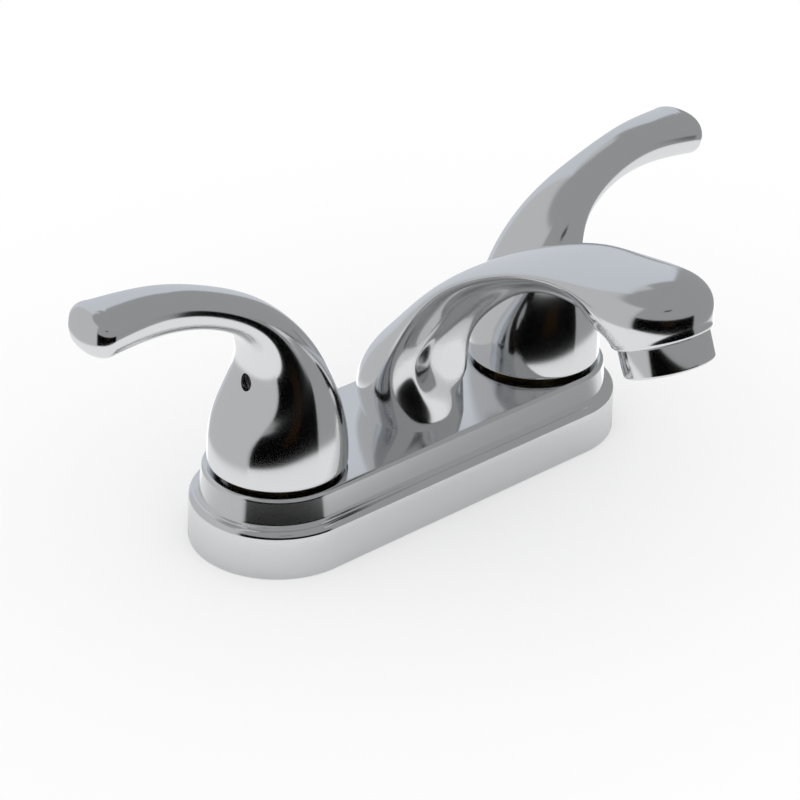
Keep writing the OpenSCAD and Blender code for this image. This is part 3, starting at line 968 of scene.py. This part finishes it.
@dataclass
class WovenScreen(Piece):
    """Round screen of crossing wires in the aerator.

    Attributes:
        radius: reach of the wires, in millimetres.
        pitch: distance between wires, in millimetres.
        wire: radius of a wire, in millimetres.
        rim_r: radius of the rim's middle, in millimetres.
        mid: height of the wires over the screen's underside, in millimetres.
    """

    name: str = "aerator_wire_screen"
    body: str = "root"
    nodes: tuple[str, ...] = ("aerator_screen",)
    finish: Finish = STEEL_SCREEN
    radius: float = 9.5
    pitch: float = 0.8
    wire: float = 0.11
    rim_r: float = 9.7
    mid: float = 0.25

    def mesh(self) -> bpy.types.Mesh:
        """Builds the rim that holds the wires."""
        profile = arc(self.rim_r, self.mid, 0.2, 0, 315, 8)
        return Loft(revolve(profile, turns(96)), closed=True).mesh(self.name)

    @staticmethod
    def group() -> bpy.types.NodeTree:
        """Node group that puts a wire cross on each point of a round grid."""
        graph, given = new_group("woven_screen", ("Radius", "Pitch", "Wire", "Height"))
        side = graph.math("MULTIPLY", given.outputs["Radius"], 2.0)
        cells = graph.math("FLOOR", graph.math("DIVIDE", side, given.outputs["Pitch"]))
        count = graph.math("ADD", cells, 1.0)
        inputs = {"Size X": side, "Size Y": side, "Vertices X": count, "Vertices Y": count}
        grid = graph.add("GeometryNodeMeshGrid", inputs)
        place = graph.add("GeometryNodeInputPosition").outputs[0]
        length = graph.add("ShaderNodeVectorMath", {0: place}, operation="LENGTH").outputs["Value"]
        outside = graph.math("GREATER_THAN", length, given.outputs["Radius"])
        kept = graph.add("GeometryNodeDeleteGeometry", {"Geometry": grid.outputs[0], "Selection": outside})
        rod = graph.add(
            "GeometryNodeMeshCylinder",
            {"Vertices": 8, "Radius": given.outputs["Wire"], "Depth": given.outputs["Pitch"]},
        )
        crossing = graph.add("GeometryNodeJoinGeometry")
        for turn in ((0, math.pi / 2, 0), (math.pi / 2, 0, 0)):
            laid = graph.add("GeometryNodeTransform", {"Geometry": rod.outputs[0], "Rotation": turn})
            graph.tree.links.new(laid.outputs[0], crossing.inputs[0])
        inputs = {"Points": kept.outputs[0], "Instance": crossing.outputs[0]}
        spots = graph.add("GeometryNodeInstanceOnPoints", inputs)
        real = graph.add("GeometryNodeRealizeInstances", {0: spots.outputs[0]})
        return end_group(graph, given, real.outputs[0], given.outputs["Height"], STEEL_SCREEN)

    def trim(self, piece: bpy.types.Object) -> None:
        """Adds the wires and moves the screen to the outlet."""
        values = {
            "Radius": self.radius * MM, "Pitch": self.pitch * MM, "Wire": self.wire * MM,
            "Height": self.mid * MM,
        }
        run_group(piece, self.group(), values)
        shift = Matrix.Translation(Vector((0, 0, S.screen_step - S.ring_h)) * MM)
        move_mesh(piece.data, outlet_place() @ shift)


def dress_cad_nodes(nodes: dict[str, bpy.types.Object]) -> None:
    """Gives each CAD node that stays in view its finish.

    Args:
        nodes: the frame's nodes by name.
    """
    for name, node in nodes.items():
        finish = CAD_FINISHES.get(name.removeprefix("hot_").removeprefix("cold_"))
        if finish is None:
            continue
        node.data.materials.clear()
        node.data.materials.append(finish.material())
        node.data.set_sharp_from_angle(angle=math.radians(CAD_SHARP))
        LOG.info("%s: %s", name, finish.name)


# Light and camera


@dataclass(frozen=True)
class Zone:
    """Part of the studio that the metal mirrors.

    Attributes:
        azimuth: direction of its middle, from +X towards +Y, in degrees.
        half_width: half of its width, in degrees.
        low: its lower edge above the horizon, in degrees.
        high: its upper edge above the horizon at its middle, in degrees.
        soft: softness of its edges, in degrees.
        colour: how bright it is.
        slope: how much the upper edge rises for each degree of azimuth.
    """

    azimuth: float
    half_width: float
    low: float
    high: float
    soft: float
    colour: Colour
    slope: float = 0.0


CEILING: Colour = (0.335, 0.34, 0.34)
ZONES: tuple[Zone, ...] = (
    Zone(0, 180, -95, -23, 1, (0.88, 0.88, 0.88)),
    Zone(120, 62, -26, 52, 3, (0.55, 0.55, 0.555)),
    Zone(62, 24, -26, 43, 1, (0.62, 0.645, 0.69), slope=0.45),
    Zone(44, 34, -31, -23, 2, (1.3, 1.3, 1.3)),
    Zone(-118, 57, -23.5, 9, 0.7, (0.001, 0.001, 0.001), slope=-0.13),
    Zone(-115, 12, -8, 4, 4, (0.01, 0.005, 0.002)),
    Zone(-118, 9, 41, 46, 1, (0.02, 0.02, 0.02)),
)


@dataclass
class Studio:
    """White tent, pale floor and the photograph's camera.

    Attributes:
        level: brightness of the tent.
        floor_colour: lightest colour of the floor.
        floor_r: radius of the floor, in millimetres.
        floor_z: height of the floor, in millimetres.
        whitening: distances from the plate between which the floor turns white, in millimetres.
        least_white: share of white beside the plate.
        mirrored: distances from the plate between which mirrored rays come to pass the floor.
        angles: azimuth, elevation and roll of the camera, in degrees.
        place: place of the camera, in millimetres.
        lens: focal length of the camera, in millimetres.
        sensor: width of its sensor, in millimetres.
    """

    level: float = 1.0
    floor_colour: Colour = (0.97, 0.97, 0.97)
    floor_r: float = 900.0
    floor_z: float = -0.05
    whitening: tuple[float, float] = (20.0, 220.0)
    least_white: float = 0.4
    mirrored: tuple[float, float] = (12.0, 30.0)
    angles: tuple[float, float, float] = (-42.72, 29.64, 1.74)
    place: tuple[float, float, float] = (-455.05, -488.30, 404.77)
    lens: float = 117.0
    sensor: float = 36.0

    def light(self) -> None:
        """Makes the world: plain light for matt surfaces, the tent's walls for mirror ones."""
        world = bpy.data.worlds.new("studio_tent")
        bpy.context.scene.world = world
        world.use_nodes = True
        world.cycles.sampling_method = "NONE"
        world.node_tree.nodes.clear()
        graph = NodeGraph(world.node_tree)
        where = graph.add("ShaderNodeTexCoord").outputs["Generated"]
        parts = graph.add("ShaderNodeSeparateXYZ", {0: where}).outputs
        squares = [graph.math("POWER", part, 2.0) for part in (parts[0], parts[1])]
        flat = graph.math("SQRT", graph.math("ADD", *squares))
        rise = graph.math("MULTIPLY", graph.math("ARCTAN2", parts[2], flat), 180 / math.pi)
        seen = graph.add("ShaderNodeRGB").outputs[0]
        seen.default_value = (*CEILING, 1.0)
        for zone in ZONES:
            seen = graph.mix(self.mask(graph, zone, parts, rise), seen, zone.colour)
        rays = graph.add("ShaderNodeLightPath").outputs
        matt = graph.mix(rays["Is Glossy Ray"], (1.0, 1.0, 1.0), seen)
        colour = graph.mix(rays["Is Camera Ray"], matt, (1.0, 1.0, 1.0))
        sky = graph.add("ShaderNodeBackground", {"Color": colour, "Strength": self.level})
        graph.add("ShaderNodeOutputWorld", {"Surface": sky.outputs[0]})

    @staticmethod
    def mask(graph: NodeGraph, zone: Zone, parts, rise) -> bpy.types.NodeSocket:
        """Value that is 1 inside a zone and 0 outside it."""
        a, soft = math.radians(zone.azimuth), zone.soft
        ahead = graph.weigh(parts[0], math.cos(a), parts[1], math.sin(a))
        aside = graph.weigh(parts[1], math.cos(a), parts[0], -math.sin(a))
        off = graph.math("MULTIPLY", graph.math("ARCTAN2", aside, ahead), 180 / math.pi)
        above = graph.ramp(rise, zone.low - soft, zone.low + soft, 0.0, 1.0, smooth=True)
        level = graph.math("SUBTRACT", rise, graph.math("MULTIPLY", off, zone.slope))
        below = graph.ramp(level, zone.high - soft, zone.high + soft, 1.0, 0.0, smooth=True)
        band = graph.math("MULTIPLY", above, below)
        if zone.half_width >= 180:
            return band
        wide = graph.math("ABSOLUTE", off)
        sides = graph.ramp(wide, zone.half_width - soft, zone.half_width + soft, 1.0, 0.0, smooth=True)
        return graph.math("MULTIPLY", band, sides)

    def floor(self) -> None:
        """Lays the pale floor that stands for the basin's top."""
        mesh = bpy.data.meshes.new("floor")
        rim = circle(self.floor_r, self.floor_z, turns(96)) * MM
        mesh.from_pydata(rim.tolist(), [], [tuple(range(len(rim)))])
        floor = new_object("floor", mesh)
        floor.data.materials.append(self.floor_paint())

    def floor_paint(self) -> bpy.types.Material:
        """Pale paint: it keeps the shadow and turns into plain white away from the tap.

        Away from the plate, mirrored rays pass through it to the studio below.

        Returns:
            The floor's material.
        """
        made = bpy.data.materials.new("pale_floor")
        made.use_nodes = True
        made.node_tree.nodes.clear()
        graph = NodeGraph(made.node_tree)
        place = graph.add("ShaderNodeTexCoord").outputs["Object"]
        parts = graph.add("ShaderNodeSeparateXYZ", {0: place}).outputs
        beyond = graph.math("SUBTRACT", graph.math("ABSOLUTE", parts[0]), S.half_c * MM)
        beyond = graph.math("MAXIMUM", beyond, 0.0)
        flat = graph.add("ShaderNodeCombineXYZ", {"X": beyond, "Y": parts[1]}).outputs[0]
        away = graph.add("ShaderNodeVectorMath", {0: flat}, operation="LENGTH").outputs["Value"]
        inputs = {"Vector": place, "Scale": 20.0, "Detail": 3.0}
        grain = graph.add("ShaderNodeTexNoise", inputs).outputs["Fac"]
        pale = self.floor_colour
        colour = graph.mix(grain, tuple(c - 0.01 for c in pale), pale)
        matt = graph.add("ShaderNodeBsdfDiffuse", {"Color": colour, "Roughness": 0.5})
        white = graph.add("ShaderNodeEmission", {"Color": (1.0, 1.0, 1.0, 1.0), "Strength": 1.0})
        rays = graph.add("ShaderNodeLightPath").outputs
        near, far = ((S.plate_end_r + d) * MM for d in self.whitening)
        fade = graph.ramp(away, near, far, self.least_white, 1.0, smooth=True)
        shown = graph.mix_shader(graph.math("MULTIPLY", fade, rays["Is Camera Ray"]), matt, white)
        near, far = ((S.plate_end_r + d) * MM for d in self.mirrored)
        passed = graph.ramp(away, near, far, 0.0, 1.0, smooth=True)
        clear = graph.add("ShaderNodeBsdfTransparent")
        done = graph.mix_shader(graph.math("MULTIPLY", passed, rays["Is Glossy Ray"]), shown, clear)
        graph.add("ShaderNodeOutputMaterial", {"Surface": done.outputs[0]})
        return made

    def camera(self) -> None:
        """Sets the camera that the photograph was taken from."""
        azimuth, elevation, roll = (math.radians(a) for a in self.angles)
        back = Vector(
            (
                math.sin(azimuth) * math.cos(elevation),
                -math.cos(azimuth) * math.cos(elevation),
                math.sin(elevation),
            )
        )
        level = Vector((math.cos(azimuth), math.sin(azimuth), 0))
        up = back.cross(level)
        right = math.cos(roll) * level + math.sin(roll) * up
        up = -math.sin(roll) * level + math.cos(roll) * up
        camera = bpy.data.objects.new("camera", bpy.data.cameras.new("camera"))
        bpy.context.scene.collection.objects.link(camera)
        camera.data.lens, camera.data.sensor_width = self.lens, self.sensor
        camera.data.clip_start, camera.data.clip_end = 0.01, 20
        turn = Matrix((right, up, back)).transposed().to_4x4()
        camera.matrix_world = Matrix.Translation(Vector(self.place) * MM) @ turn
        bpy.context.scene.camera = camera


def main() -> None:
    """Builds every piece, then the studio."""
    logging.basicConfig(level=logging.INFO, format="%(name)s: %(message)s")
    pieces: list[Piece] = [CoverPlate(), SpoutCasting(), AeratorRing(), WovenScreen()]
    for side in Side:
        pieces += [LeverHandle(side=side), SetScrew(side=side), InletShank(side=side)]
    for piece in pieces:
        piece.build()
    dress_cad_nodes(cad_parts)
    studio = Studio()
    studio.light()
    studio.floor()
    studio.camera()
    bpy.context.scene.view_settings.view_transform = "Standard"


if __name__ == "__main__":
    main()
